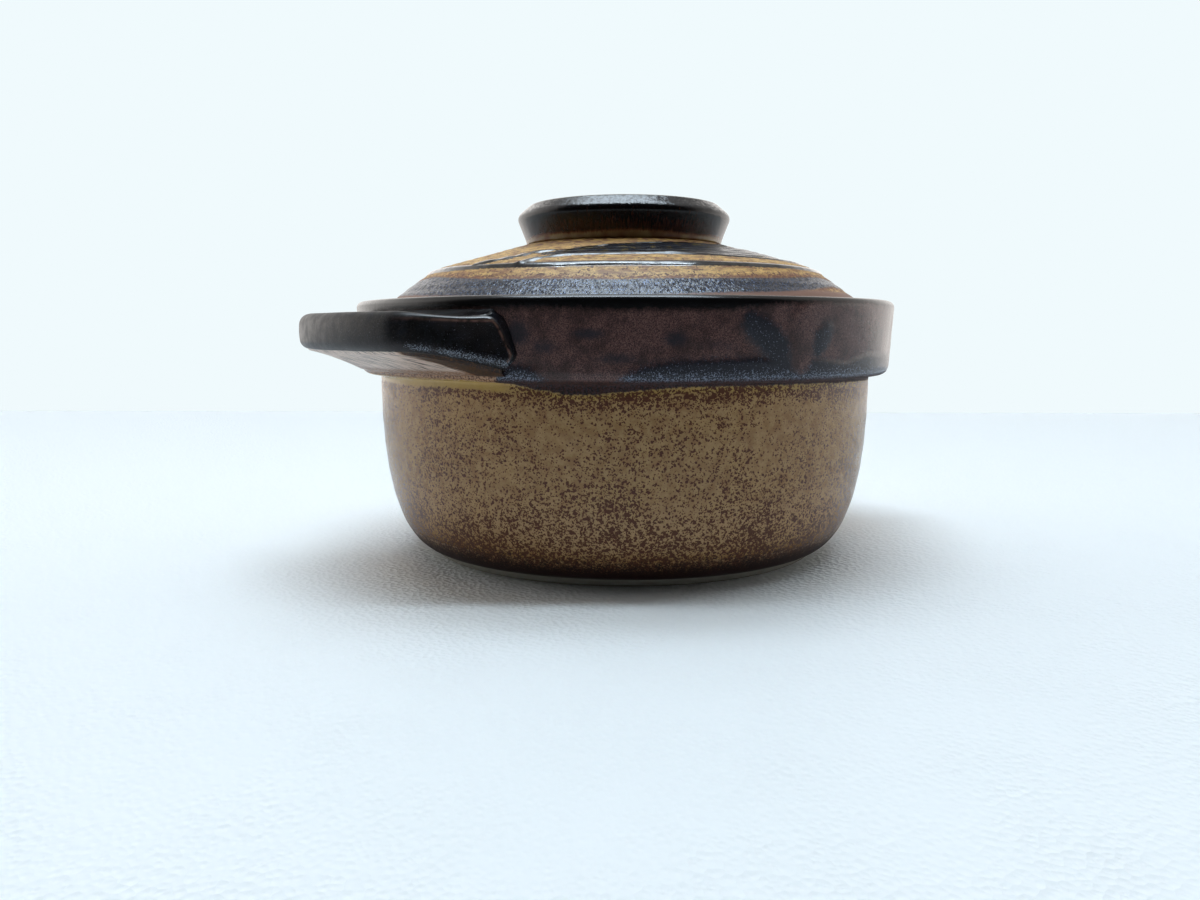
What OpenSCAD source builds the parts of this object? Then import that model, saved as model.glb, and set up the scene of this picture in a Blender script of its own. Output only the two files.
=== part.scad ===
// Stoneware casserole: a thrown pot with two lug ears, and a domed lid
// that sits inside the thick collar and carries a hollow ring knob.
// Origin at the middle of the foot, on the table. +Z up, ears on the X axis.

/* [Pot] */
// Height from the table to the top of the collar
pot_h = 71.9; // [60:0.2:85]
// Outer diameter at the top of the collar
collar_d = 156.6; // [136:0.2:180]
// Height of the collar band
collar_h = 20; // [15:0.5:25]
// How much the collar draws in towards its lower edge, on the radius
collar_taper = 1.4; // [0:0.1:3]
// Rounding of the collar's lower edge
collar_round = 3; // [1:0.25:5]
// Thickness of the rim beside the lid
rim_t = 8.2; // [6:0.1:11]
// Rounding of the rim's two edges
rim_round = 1.4; // [0.6:0.1:3]
// Thickness of the bowl's wall
wall_t = 6.4; // [5:0.1:8]
// Thickness of the floor
floor_t = 5.6; // [4:0.1:9]

/* [Foot] */
// Outer diameter of the foot ring
foot_d = 115; // [95:1:128]
// Height of the bare clay foot below the glaze
foot_h = 2; // [1:0.1:4]
// Width of the face that stands on the table
foot_w = 7; // [4:0.1:12]
// Depth of the hollow inside the foot ring
foot_hollow = 2.4; // [1:0.1:4]

/* [Lid seat] */
// Depth of the ledge below the top of the collar
seat_depth = 6.9; // [4:0.1:10]
// Width of the ledge
ledge_w = 4.6; // [3:0.1:7]
// Radial play between lid and rim
lid_play = 0.8; // [0.4:0.1:2]

/* [Lid] */
// Thickness of the lid
lid_t = 5.6; // [4:0.1:8]
// Width of the lid's flat seat
lid_seat_w = 5.2; // [4:0.1:8]
// Height of the lid's upright edge
lid_edge_h = 6.4; // [4:0.1:9]
// Diameter of the raised ring at the shoulder
shoulder_d = 113; // [98:1:120]
// Height of the shoulder above the ledge
shoulder_rise = 16; // [13:0.1:20]
// Height of the flat top above the ledge
crown_rise = 23.8; // [21:0.1:30]
// Diameter of the raised ring's round section
bead_d = 2.2; // [1:0.1:4]

/* [Knob] */
// Diameter of the knob's widest line
knob_d = 63.6; // [54:0.2:68]
// Diameter where the knob stands on the lid
knob_neck_d = 57; // [48:0.2:62]
// Height of the knob
knob_h = 11.6; // [8:0.2:16]
// Height of the bevel from the widest line to the top
knob_bevel_h = 3.4; // [1.5:0.1:5]
// How far the bevel draws in, on the radius
knob_bevel_w = 4; // [2:0.1:5]
// Rounding of the knob's widest line
knob_round = 2.1; // [0.6:0.1:3]
// Width of the knob's flat top
knob_top_w = 3.4; // [2:0.1:5]
// Diameter of the hollow at the knob's base
knob_hollow_d = 43; // [36:0.5:46]

/* [Ears] */
// How far the ear stands out from the collar
ear_reach = 15.7; // [11:0.1:24]
// Drop from the top of the collar to the top of the ear's tip
ear_drop = 3.6; // [2:0.1:6]
// Thickness of the ear's outer edge
ear_t = 9.4; // [6:0.1:11]
// Thickness of the ear where it meets the collar
ear_root_t = 15.4; // [12:0.1:17]
// Width of the ear across its two outer corners
ear_tip_w = 66; // [46:1:74]
// Width of the ear across its two flat sides, at their line beside the collar
ear_root_w = 84; // [68:1:90]
// How far that line stands off the collar
ear_lip = 2.9; // [1:0.1:4]
// How far each end draws in towards its upper corner
ear_flare = 2.8; // [0:0.1:4]
// Height of the curve at the upper corner of each end
ear_end_turn = 2.6; // [1:0.1:4]
// Depth below the top at which the ends are widest
ear_widest = 8.6; // [6:0.1:10]
// Rounding between the flat side and the end
ear_round_end = 0.9; // [0.4:0.1:2]
// How far the ear's top is dished
ear_dish = 1.3; // [0:0.1:2.5]
// Softness of the ear's outer corners in plan
ear_corner = 7; // [2:0.5:12]
// Rounding of the ear's upper edge at its tip
ear_round_top = 2.4; // [0.6:0.1:3]
// Rounding of the ear's upper edge along its two sides
ear_round_side = 1.2; // [0.6:0.1:3]
// Rounding of the ear's lower edge
ear_round_low = 2.3; // [0.8:0.1:4]

/* [Hidden] */
$fn = 96;
// Straight steps in a rounded corner, and in a long curve
corner_steps = 6;
curve_steps = 18;

collar_r = collar_d / 2;
collar_z = pot_h - collar_h;
rim_r = collar_r - rim_t;
inner_r = rim_r - ledge_w;
wall_r = inner_r + wall_t;
ledge_z = pot_h - seat_depth;
foot_r = foot_d / 2;
floor_z = foot_hollow + floor_t;
floor_r = foot_r - wall_t;

lid_r = rim_r - lid_play;
shoulder_r = shoulder_d / 2;
shoulder_z = ledge_z + shoulder_rise;
crown_z = ledge_z + crown_rise;

knob_r = knob_d / 2;
neck_r = knob_neck_d / 2;
knob_z = crown_z + knob_h;

ear_r = collar_r + ear_reach;
ear_z = pot_h - ear_drop;
// The ear's blank starts inside the collar, and is cut off at its face
ear_in = rim_r;
root_r = collar_r - collar_taper / 2;

// Small edges
break_edge = 0.7;
cove = 1.6;

function unit(v) = v / norm(v);
function mix(a, b, t) = a + (b - a) * t;

// One corner [r, z, radius] of a closed outline, as the points of its arc.
// The arc is kept within its two sides.
function corner(p, i) =
    let (n = len(p), b = [p[i].x, p[i].y],
         a = [p[(i + n - 1) % n].x, p[(i + n - 1) % n].y],
         c = [p[(i + 1) % n].x, p[(i + 1) % n].y],
         u = unit(a - b), v = unit(c - b),
         half = acos(max(-1, min(1, u * v))) / 2,
         reach = min(p[i][2] / tan(half), 0.48 * norm(a - b), 0.48 * norm(c - b)),
         radius = reach * tan(half),
         middle = b + unit(u + v) * radius / sin(half),
         s = b + u * reach - middle, e = b + v * reach - middle,
         from = atan2(s.y, s.x), turn = (atan2(e.y, e.x) - from + 540) % 360 - 180)
    [for (k = [0:corner_steps])
        middle + radius * [cos(from + turn * k / corner_steps),
                           sin(from + turn * k / corner_steps)]];

// A closed outline of [r, z] or [r, z, radius] corners, with the corners rounded
function rounded(p) =
    [for (i = [0:len(p) - 1]) each (len(p[i]) > 2 ? corner(p, i) : [p[i]])];

// The bowl's curve from [r0, z0] at the bottom to [r1, z1] at the top:
// it leaves the bottom flat, turns quickly and rises nearly upright
function bowl(r0, z0, r1, z1) =
    [for (k = [0:curve_steps])
        let (u = pow(k / curve_steps, 2))
        [mix(r0, r1, sqrt(1 - pow(1 - u, 2.5))), mix(z0, z1, u)]];

function reversed(p) = [for (i = [len(p) - 1:-1:0]) p[i]];

// Outside of the pot, from the table to the rim
pot_outside = concat(
    [[foot_r, 0, break_edge]],
    bowl(foot_r + break_edge, foot_h, wall_r, collar_z - cove),
    [[wall_r, collar_z, cove],
     [collar_r - collar_taper, collar_z, collar_round],
     [collar_r, pot_h, rim_round]]);

// Inside of the pot, from the rim to the floor
pot_inside = concat(
    [[rim_r, pot_h, rim_round],
     [rim_r, ledge_z, break_edge],
     [inner_r, ledge_z, break_edge]],
    reversed(bowl(floor_r, floor_z, inner_r, ledge_z - 2 * break_edge)),
    [[0, floor_z]]);

// Underside of the pot, from the middle to the table
pot_underside = [
    [0, foot_hollow],
    [foot_r - foot_w - break_edge, foot_hollow, break_edge],
    [foot_r - foot_w, 0, break_edge]];

module pot() {
    color("darkkhaki")
        rotate_extrude()
            polygon(rounded(concat(pot_outside, pot_inside, pot_underside)));
}

// The pot's outside as one full solid, which gives the ears their root face
module pot_body() {
    rotate_extrude()
        polygon(rounded(concat(pot_outside, [[0, pot_h], [0, 0]])));
}

// How far out a radius lies on the ear: 0 at the collar, 1 at the tip
function ear_out(r) = (r - root_r) / (ear_r - root_r);
function ear_top(r) =
    let (q = max(0, min(1, ear_out(r)))) ear_z - ear_dish * 4 * q * (1 - q);
function ear_under(r) = mix(ear_z - ear_t, ear_z - ear_root_t, pow(max(0, min(1, 1 - ear_out(r))), 1.5));

// The smaller of two lengths, with a soft change from one to the other
function soft_min(a, b, k) = min(a, b) - pow(max(k - abs(a - b), 0), 2) / (4 * k);

// Radius of the ear's outer edge in plan, at an angle from its middle: an arc
// about the pot, cut softly at each side by a flat side that runs from the
// tip's corner to a line beside the collar
ear_side_r = root_r + ear_lip;
function ear_plan(angle) =
    let (tip = [sqrt(pow(ear_r, 2) - pow(ear_tip_w / 2, 2)), ear_tip_w / 2],
         root = [sqrt(pow(ear_side_r, 2) - pow(ear_root_w / 2, 2)), ear_root_w / 2],
         n = [root.y - tip.y, tip.x - root.x])
    soft_min(ear_r, (n * tip) / (n * [cos(angle), sin(angle)]), ear_corner);

// Angle of the ear's end at a depth below its top: a quarter ellipse at the
// upper corner, then a straight slope, drawn in again towards the bottom
function ear_end(depth) =
    let (turn = sqrt(1 - pow(1 - max(0, min(1, depth / ear_end_turn)), 2)),
         slope = max(0, depth - ear_end_turn / 2) / (ear_widest - ear_end_turn / 2),
         back = 0.55 * pow(max(0, depth - ear_widest), 1.5))
    asin((ear_root_w / 2 - ear_flare) / ear_side_r)
        + (ear_flare * (turn + slope) - back) / ear_side_r * 180 / PI;

// The ear's edge as [angle, radius] at a depth below its top. The course runs
// from 0 at the ear's middle to 1 at the end of its flat side, then over a
// rounded edge and into the collar, to 2.
function ear_edge(course, depth) =
    let (end = ear_end(depth), begin = end - ear_round_end / ear_side_r * 180 / PI,
         r = ear_plan(end), over = max(0, min(1, 2 * course - 2)), into = max(0, 2 * course - 3),
         lean = 2,
         turned = [end + lean * ear_round_end / (r - ear_in), r - ear_round_end])
    course <= 1
        ? [begin * course, ear_plan(begin * course)]
        : pow(1 - over, 2) * [begin, ear_plan(begin)] + 2 * over * (1 - over) * [end, r]
          + pow(over, 2) * turned + into * ([end + lean, ear_in + 1] - turned);

// Section of the ear at a course, as [angle, r, z] points
function ear_section(course) =
    let (top = ear_edge(course, 0), z1 = ear_top(top.y),
         low = ear_edge(course, z1 - ear_under(ear_edge(course, ear_t).y)), z0 = ear_under(low.y),
         tip = max(0, min(1, (25 - top.x) / 10)),
         t = min(mix(ear_round_side, ear_round_top, tip), 0.4 * (top.y - ear_in)),
         b = min(ear_round_low, 0.5 * (low.y - ear_in)),
         // Inset and height of each point of the outer face
         face = concat(
             [for (k = [0:4]) [t - t * sin(k * 22.5), z1 - t + t * cos(k * 22.5)]],
             [for (k = [1:4]) [0, mix(z1 - t, z0 + b, k / 5)]],
             [for (k = [0:4]) [b - b * cos(k * 18), z0 + b - b * sin(k * 18)]]),
         edge = [for (q = face) ear_edge(course, z1 - q.y)],
         n = len(face) - 1)
    concat(
        [for (k = [0:4]) let (r = mix(ear_in, top.y - t, k / 5)) [top.x, r, ear_top(r)]],
        [for (i = [0:n]) [edge[i].x, edge[i].y - face[i].x, face[i].y]],
        [for (k = [4:-1:0]) let (r = mix(ear_in, edge[n].y - face[n].x, k / 5)) [edge[n].x, r, ear_under(r)]]);

// The ear before it is cut to the pot, lofted through its sections
flank_steps = 22;
end_steps = 8;
half_courses = concat([for (k = [0:flank_steps - 1]) k / flank_steps], [for (k = [0:end_steps]) 1 + k / end_steps]);
ear_courses = concat([for (k = [len(half_courses) - 1:-1:1]) -half_courses[k]], half_courses);
module ear_blank() {
    sections = [for (c = ear_courses) ear_section(abs(c))];
    m = len(sections[0]);
    last_row = len(ear_courses) - 1;
    points = [for (i = [0:last_row]) for (q = sections[i])
        let (a = ear_courses[i] < 0 ? -q[0] : q[0]) [q[1] * cos(a), q[1] * sin(a), q[2]]];
    sides = [for (i = [0:last_row - 1]) for (j = [0:m - 1])
        let (a = i * m + j, b = i * m + (j + 1) % m)
        each [[a, a + m, b], [b, a + m, b + m]]];
    first = [for (j = [1:m - 2]) [0, j, j + 1]];
    last = [for (j = [1:m - 2]) let (o = last_row * m) [o, o + j + 1, o + j]];
    polyhedron(points, concat(sides, first, last), convexity = 4);
}

module ear(turn) {
    color("darkslategray")
        rotate(turn)
            difference() {
                ear_blank();
                pot_body();
            }
}
module ear_left() { ear(180); }
module ear_right() { ear(0); }

// Outside of the lid, from its seat to the middle of its top
lid_outside = [
    [lid_r - lid_seat_w, ledge_z, break_edge],
    [lid_r, ledge_z, break_edge],
    [lid_r, ledge_z + lid_edge_h, rim_round],
    [shoulder_r, shoulder_z, 12],
    [neck_r + break_edge, crown_z, 4],
    [0, crown_z]];

// Hollow of the lid, a lid's thickness inside
lid_inside = [
    [0, crown_z - lid_t],
    [neck_r - lid_t / 2, crown_z - lid_t, 8],
    [shoulder_r - lid_t / 2, shoulder_z - lid_t, 8]];

module lid() {
    color("peru")
        rotate_extrude() {
            polygon(rounded(concat(lid_outside, lid_inside)));
            translate([shoulder_r, shoulder_z - bead_d / 8]) circle(d = bead_d);
        }
}

module lid_knob() {
    top_r = knob_r - knob_bevel_w;
    color("saddlebrown")
        rotate_extrude()
            polygon(rounded([
                [knob_hollow_d / 2, crown_z],
                [neck_r, crown_z, break_edge],
                [knob_r, knob_z - knob_bevel_h, knob_round],
                [top_r, knob_z, 2 * break_edge],
                [top_r - knob_top_w, knob_z, 2 * break_edge]]));
}

pot();
ear_left();
ear_right();
lid();
lid_knob();
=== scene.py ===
import math
import bpy
import numpy as np
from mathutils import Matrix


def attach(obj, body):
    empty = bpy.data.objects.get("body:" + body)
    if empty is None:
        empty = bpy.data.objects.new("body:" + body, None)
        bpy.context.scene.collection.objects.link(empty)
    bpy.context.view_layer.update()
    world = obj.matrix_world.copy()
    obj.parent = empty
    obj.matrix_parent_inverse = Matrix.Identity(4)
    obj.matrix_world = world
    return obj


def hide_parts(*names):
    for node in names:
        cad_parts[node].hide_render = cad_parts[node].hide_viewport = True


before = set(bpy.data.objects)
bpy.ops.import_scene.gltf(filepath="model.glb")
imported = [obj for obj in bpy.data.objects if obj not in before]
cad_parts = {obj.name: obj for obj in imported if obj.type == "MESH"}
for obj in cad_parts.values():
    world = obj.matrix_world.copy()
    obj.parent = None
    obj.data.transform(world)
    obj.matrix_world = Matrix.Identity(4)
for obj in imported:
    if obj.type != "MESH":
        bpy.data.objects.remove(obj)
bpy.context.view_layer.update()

# Lengths are written in millimetres and become metres in the meshes.
# Angles called facing are in degrees about the pot's axis: 0 is the side
# towards the photograph's camera, and they grow to the viewer's right.
mm = 0.001
facingTurn = -128.4     # polar angle of facing 0
earTurns = (180, 0)     # polar angles of the left and the right ear
pole = 0.6              # radius where a profile ends and an end point closes it
scene = bpy.context.scene
scene.view_settings.view_transform = "Standard"
print("frame loaded:", sorted(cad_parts))


# Small helpers

def ink(red, green, blue):  # screen colour 0 to 255, as a linear colour
    c = np.array([red, green, blue]) / 255
    c = np.where(c < 0.04045, c / 12.92, ((c + 0.055) / 1.055) ** 2.4)
    return (float(c[0]), float(c[1]), float(c[2]), 1.0)


def inks(**colours):  # several of them by name
    return {name: ink(*colour) for name, colour in colours.items()}


def softStep(low, high, x):  # 0 below low, 1 above high, a smooth curve between
    t = np.clip((x - low) / (high - low), 0, 1)
    return t * t * (3 - 2 * t)


def around(facing, table):  # value of a [facing, value] table that closes on itself
    t = np.array(table, float)
    return np.interp(facing, t[:, 0], t[:, 1], period=360)


def wrapped(angle):  # degrees from -180 to 180
    return (angle + 180) % 360 - 180


# Brush stroke: half its width, less the distance to the nearest piece of its
# path. The field is above 0 inside the stroke. Path rows are x, y, half width.
def strokeField(x, y, path):
    p = np.array(path, float)
    a, d = p[:-1], np.diff(p, axis=0)
    px, py = x[..., None] - a[:, 0], y[..., None] - a[:, 1]
    along = np.clip((px * d[:, 0] + py * d[:, 1]) / (d[:, 0] ** 2 + d[:, 1] ** 2), 0, 1)
    away = np.hypot(px - along * d[:, 0], py - along * d[:, 1])
    return (a[:, 2] + along * d[:, 2] - away).max(-1)


# Smooth path through a few points: a cubic between each pair, with the slope
# at a point taken from its neighbours
def eased(path, steps=8):
    p = np.array(path, float)
    slope = np.gradient(p, axis=0)
    t = np.linspace(0, 1, steps, endpoint=False)[:, None, None]
    a, b, u, v = p[:-1], p[1:], slope[:-1], slope[1:]
    curve = ((1 + 2 * t) * (1 - t) ** 2 * a + t * (1 - t) ** 2 * u
             + t ** 2 * (3 - 2 * t) * b + t ** 2 * (t - 1) * v)
    return np.vstack([curve.transpose(1, 0, 2).reshape(-1, p.shape[1]), p[-1:]])


# Hand-made unevenness: a few sine waves of the angle and the height
def wobble(facing, height, seed):
    draw = np.random.default_rng(seed)
    turns, lean, phase = draw.integers(2, 9, 5), draw.uniform(-0.12, 0.12, 5), draw.uniform(0, 6.28, 5)
    waves = np.sin(np.radians(facing)[..., None] * turns + height[..., None] * lean + phase)
    return (waves / turns ** 0.5).sum(-1) / 2


# Outline of [radius, height, rounding] corners: each corner becomes an arc
# that touches its two sides and is kept within them
def roundedOutline(corners, steps=10):
    c = np.array([list(q) + [0] * (3 - len(q)) for q in corners], float)
    p, rounding = c[:, :2], c[:, 2]
    a, b = np.roll(p, 1, 0) - p, np.roll(p, -1, 0) - p
    la, lb = np.hypot(*a.T)[:, None], np.hypot(*b.T)[:, None]
    u, v = a / la, b / lb
    half = np.arccos(np.clip((u * v).sum(1), -1, 1)) / 2
    reach = np.minimum(rounding / np.tan(half), 0.48 * np.minimum(la, lb)[:, 0])
    middleWay = (u + v) / np.maximum(np.hypot(*(u + v).T), 1e-9)[:, None]
    middle = p + middleWay * (reach / np.cos(half))[:, None]
    s, e = p + u * reach[:, None] - middle, p + v * reach[:, None] - middle
    start = np.arctan2(s[:, 1], s[:, 0])
    turn = (np.arctan2(e[:, 1], e[:, 0]) - start + 3 * np.pi) % (2 * np.pi) - np.pi
    angle = start[:, None] + turn[:, None] * np.linspace(0, 1, steps)
    arc = middle[:, None] + np.hypot(*s.T)[:, None, None] * np.stack([np.cos(angle), np.sin(angle)], -1)
    arc[reach < 1e-6] = p[reach < 1e-6][:, None]
    points = arc.reshape(-1, 2)
    return points[np.r_[True, np.hypot(*np.diff(points, axis=0).T) > 1e-6]]


# Points along an outline, set as far apart as the spacing at each place says
def spread(points, spacing):
    gap = np.hypot(*np.diff(points, axis=0).T)
    middle = (points[1:] + points[:-1]) / 2
    count = np.r_[0, np.cumsum(gap / spacing(middle[:, 0], middle[:, 1]))]
    at = np.linspace(0, count[-1], int(count[-1]) + 1)
    return np.column_stack([np.interp(at, count, points[:, 0]), np.interp(at, count, points[:, 1])])


# Direction across an outline, to the right of the way it runs
def acrossOf(profile, closed=False):
    if closed:
        run = np.roll(profile, -1, 0) - np.roll(profile, 1, 0)
    else:
        run = np.gradient(profile, axis=0)
    run = run / np.hypot(*run.T)[:, None]
    return np.column_stack([run[:, 1], -run[:, 0]])


def lengthAlong(profile):  # from the first point of a profile to each of its points
    return np.r_[0, np.cumsum(np.hypot(*np.diff(profile, axis=0).T))]


# Turned piece: its profile carried round the axis, one ring for each row
def turnedRings(profile, columns):
    theta = np.linspace(0, 2 * np.pi, columns, endpoint=False)
    facing = wrapped(np.degrees(theta) - facingTurn)[None, :] + 0 * profile[:, :1]
    return theta, facing, profile[:, :1] + 0 * facing, profile[:, 1:] + 0 * facing


# Its points, moved by the relief across the profile
def raisedGrid(profile, theta, relief, closed=False):
    across = acrossOf(profile, closed)
    r, z = profile[:, :1] + across[:, :1] * relief, profile[:, 1:] + across[:, 1:] * relief
    return np.stack([r * np.cos(theta), r * np.sin(theta), z], -1)


# Mesh from a grid of points [row, column, xyz] in millimetres. Columns close
# on themselves. Rows close too for a ring; otherwise an end point closes each end.
def gridMesh(name, grid, ring=False, ends=None):
    rows, cols = grid.shape[:2]
    index = np.arange(rows * cols).reshape(rows, cols)
    low = index if ring else index[:-1]
    high = np.roll(index, -1, 0) if ring else index[1:]
    quads = np.stack([low, np.roll(low, -1, 1), np.roll(high, -1, 1), high], -1).reshape(-1, 4)
    points = grid.reshape(-1, 3)
    loops, starts = [quads.ravel()], [np.arange(len(quads)) * 4]
    if ends is not None:
        points = np.vstack([points, ends])
        first, last = rows * cols, rows * cols + 1
        fans = np.vstack([
            np.column_stack([np.full(cols, first), np.roll(index[0], -1), index[0]]),
            np.column_stack([np.full(cols, last), index[-1], np.roll(index[-1], -1)])])
        loops.append(fans.ravel())
        starts.append(quads.size + np.arange(len(fans)) * 3)
    mesh = bpy.data.meshes.new(name)
    corners = np.concatenate(loops).astype(np.int32)
    begins = np.concatenate(starts).astype(np.int32)
    mesh.vertices.add(len(points))
    mesh.vertices.foreach_set("co", (points * mm).astype(np.float32).ravel())
    mesh.loops.add(len(corners))
    mesh.loops.foreach_set("vertex_index", corners)
    mesh.polygons.add(len(begins))
    mesh.polygons.foreach_set("loop_start", begins)
    mesh.update(calc_edges=True)
    mesh.validate()
    mesh.shade_smooth()
    piece = bpy.data.objects.new(name, mesh)
    scene.collection.objects.link(piece)
    return piece


# Numbers or directions for every point of a piece, which its glaze reads. The
# end points take the values of the grid's first and last point.
def addFields(piece, fields):
    for name, values in fields.items():
        values = np.asarray(values, np.float32)
        vector = values.ndim == 3
        flat = values.reshape(-1, 3) if vector else values.ravel()
        missing = len(piece.data.vertices) - len(flat)
        if missing:
            flat = np.concatenate([flat, flat[[0, -1]][:missing]])
        layer = piece.data.attributes.new(name, "FLOAT_VECTOR" if vector else "FLOAT", "POINT")
        layer.data.foreach_set("vector" if vector else "value", flat.ravel())


def finishPiece(piece, node, body, glaze):
    piece.data.materials.append(glaze)
    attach(piece, body)
    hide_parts(node)
    print("piece", piece.name, "faces", len(piece.data.polygons), "rides", body)


# Node helpers. They add to the tree that is being worked on. A socket is
# linked, and anything else is set on the socket itself.

work = {"tree": None}


def feed(socket, value):
    if isinstance(value, bpy.types.NodeSocket):
        work["tree"].links.new(value, socket)
    else:
        socket.default_value = value


def put(kind, inputs, out=0, **settings):
    node = work["tree"].nodes.new("ShaderNode" + kind)
    for key, value in settings.items():
        setattr(node, key, value)
    for key, value in inputs.items():
        feed(node.inputs[key], value)
    return node.outputs[out]


def sums(operation, first, *others):  # one Math node after another
    total = first
    for other in others:
        total = put("Math", {0: total, 1: other}, operation=operation)
    return total


def times(*parts):
    return sums("MULTIPLY", *parts)


def plus(*parts):
    return sums("ADD", *parts)


def less(*parts):
    return sums("SUBTRACT", *parts)


def most(*parts):
    return sums("MAXIMUM", *parts)


def unsigned(value):  # without its sign
    return put("Math", {0: value}, operation="ABSOLUTE")


def centred(value, reach):  # 0 to 1 becomes either side of 0
    return times(less(value, 0.5), reach)


def vectors(operation, a, b, out=0):  # b is a direction, or the number to scale by
    return put("VectorMath", {0: a, "Scale" if operation == "SCALE" else 1: b}, out, operation=operation)


def leaning(colour, reach):  # a texture's colour as a direction that leans any way
    return vectors("SCALE", vectors("SUBTRACT", colour, (0.5, 0.5, 0.5)), reach)


def step(value, low, high, toLow=0.0, toHigh=1.0):  # soft step of a value
    return put("MapRange", {0: value, 1: low, 2: high, 3: toLow, 4: toHigh}, interpolation_type="SMOOTHSTEP")


def blend(amount, under, over):  # colour between two
    return put("Mix", {0: amount, 6: under, 7: over}, out=2, data_type="RGBA")


def between(amount, a, b):  # number between two
    return put("Mix", {0: amount, 2: a, 3: b}, data_type="FLOAT")


def layered(base, *layers, mix=blend):  # other colours or numbers over it in turn, each by its own amount
    for amount, over in layers:
        base = mix(amount, base, over)
    return base


def field(name, out="Fac"):
    return put("Attribute", {}, out, attribute_name=name)


def noise(place, wide, detail=3.0, rough=0.55, twist=0.0):  # wide in millimetres
    return put("TexNoise", {"Vector": place, "Scale": 1 / wide, "Detail": detail,
                            "Roughness": rough, "Distortion": twist})


def cells(place, wide, out="Distance"):  # distance from each cell's middle, or the cell's own colour
    return put("TexVoronoi", {"Vector": place, "Scale": 1 / wide}, out)


def shaken(place, wide, reach):  # the place moved about by a noise, for ragged edges
    way = put("TexNoise", {"Vector": place, "Scale": 1 / wide, "Detail": 2.0}, out="Color")
    return vectors("ADD", place, leaning(way, reach))


# Specks in some of the cells: the amount says how many cells have one, and a
# speck is as wide as its cell's number stands above the share without any
def speckles(place, wide, amount):
    own = put("SeparateColor", {0: cells(place, wide, "Color")})
    radius = sums("MINIMUM", times(plus(own, less(amount, 1.0)), 3.0), 0.95)
    return step(less(radius, cells(place, wide)), -0.03, 0.10)


# Normals that lean a little their own way in each cell, as small crystals do
def flaked(place, wide, lean, under):
    both = vectors("ADD", under, leaning(cells(place, wide, "Color"), lean))
    return put("VectorMath", {0: both}, operation="NORMALIZE")


def bump(height, depth, under=None):  # height 0 to 1, depth in millimetres
    inputs = {"Height": height, "Distance": depth * mm, "Strength": 1.0}
    if under is not None:
        inputs["Normal"] = under
    return put("Bump", inputs)


def newGlaze(name):  # material with its shader and the place in millimetres
    glaze = bpy.data.materials.new(name)
    glaze.use_nodes = True
    work["tree"] = glaze.node_tree
    place = vectors("SCALE", put("TexCoord", {}, out="Object"), 1 / mm)
    return glaze, glaze.node_tree.nodes["Principled BSDF"], place


def setShader(shader, values):
    for name, value in values.items():
        feed(shader.inputs[name], value)


# Camera at the photograph's place

camera = {
    "away": 284.7, "height": 63.55, "side": -38.4, "down": 0.12621,
    "axisAt": 623.2, "focal": 930.0, "imageWidth": 1200, "sensor": 36}


def makeCamera():
    a = math.radians(camera["side"])
    yaw = math.atan((camera["axisAt"] - camera["imageWidth"] / 2) / camera["focal"])
    up = np.array([0, 0, 1.0])
    ahead = np.array([-math.sin(a), math.cos(a), 0])
    right = np.array([math.cos(a), math.sin(a), 0])
    look = ahead * math.cos(yaw) - right * math.sin(yaw)
    side = right * math.cos(yaw) + ahead * math.sin(yaw)
    down = camera["down"]
    front = look * math.cos(down) - up * math.sin(down)
    top = up * math.cos(down) + look * math.sin(down)
    lens = bpy.data.cameras.new("photoCamera")
    lens.sensor_width = camera["sensor"]
    lens.lens = camera["focal"] / camera["imageWidth"] * camera["sensor"]
    lens.clip_start = 0.01
    eye = bpy.data.objects.new("photoCamera", lens)
    place = np.array([camera["away"] * math.sin(a), -camera["away"] * math.cos(a), camera["height"]]) * mm
    matrix = np.eye(4)
    matrix[:3, 0], matrix[:3, 1], matrix[:3, 2], matrix[:3, 3] = side, top, -front, place
    eye.matrix_world = matrix.T
    scene.collection.objects.link(eye)
    scene.camera = eye
    return ahead, right


ahead, right = makeCamera()
print("camera set")


# Floor and light: a white box that is open towards the camera

room = {
    "floorInk": ink(245, 250, 252), "backInk": ink(240, 250, 253), "lightInk": (1.0, 0.965, 0.93),
    "halfWidth": 2500, "frontAt": -345, "backAt": 455, "grain": 1.3, "grainDepth": 0.55, "wornWide": 24,
    "wallLight": 1.56, "highLight": 0.40, "highFrom": (0.20, 0.76), "rightShade": 0.22,  # dim upwards
    "backShare": 0.80, "sideShare": 1.22, "sideFrom": (0.25, 0.95),  # back wall and side walls
    "openLight": 0.03, "openFrom": (-0.14, 0.30), "ceilingFrom": (0.3, 0.5)}  # open side, ceiling
skyParts = [  # bright parts of the ceiling: brightness, colour, middle and half width
    # across the view, the same along it, softness
    (4.4, (0.79, 0.94, 1.08), -0.07, 0.36, 0.26, 0.15, 0.08),
    (16.4, (0.81, 0.95, 1.06), 0.0, 0.42, -0.05, 0.045, 0.015),
    (0.32, (0.87, 0.96, 1.01), 0.0, 0.60, -0.12, 0.36, 0.08)]
lamp = {
    "name": "ceilingStrip", "across": -35, "along": 80, "height": 430, "wide": 260, "deep": 300,
    "bright": 1.1, "ink": (0.82, 0.93, 1.0)}


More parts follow.
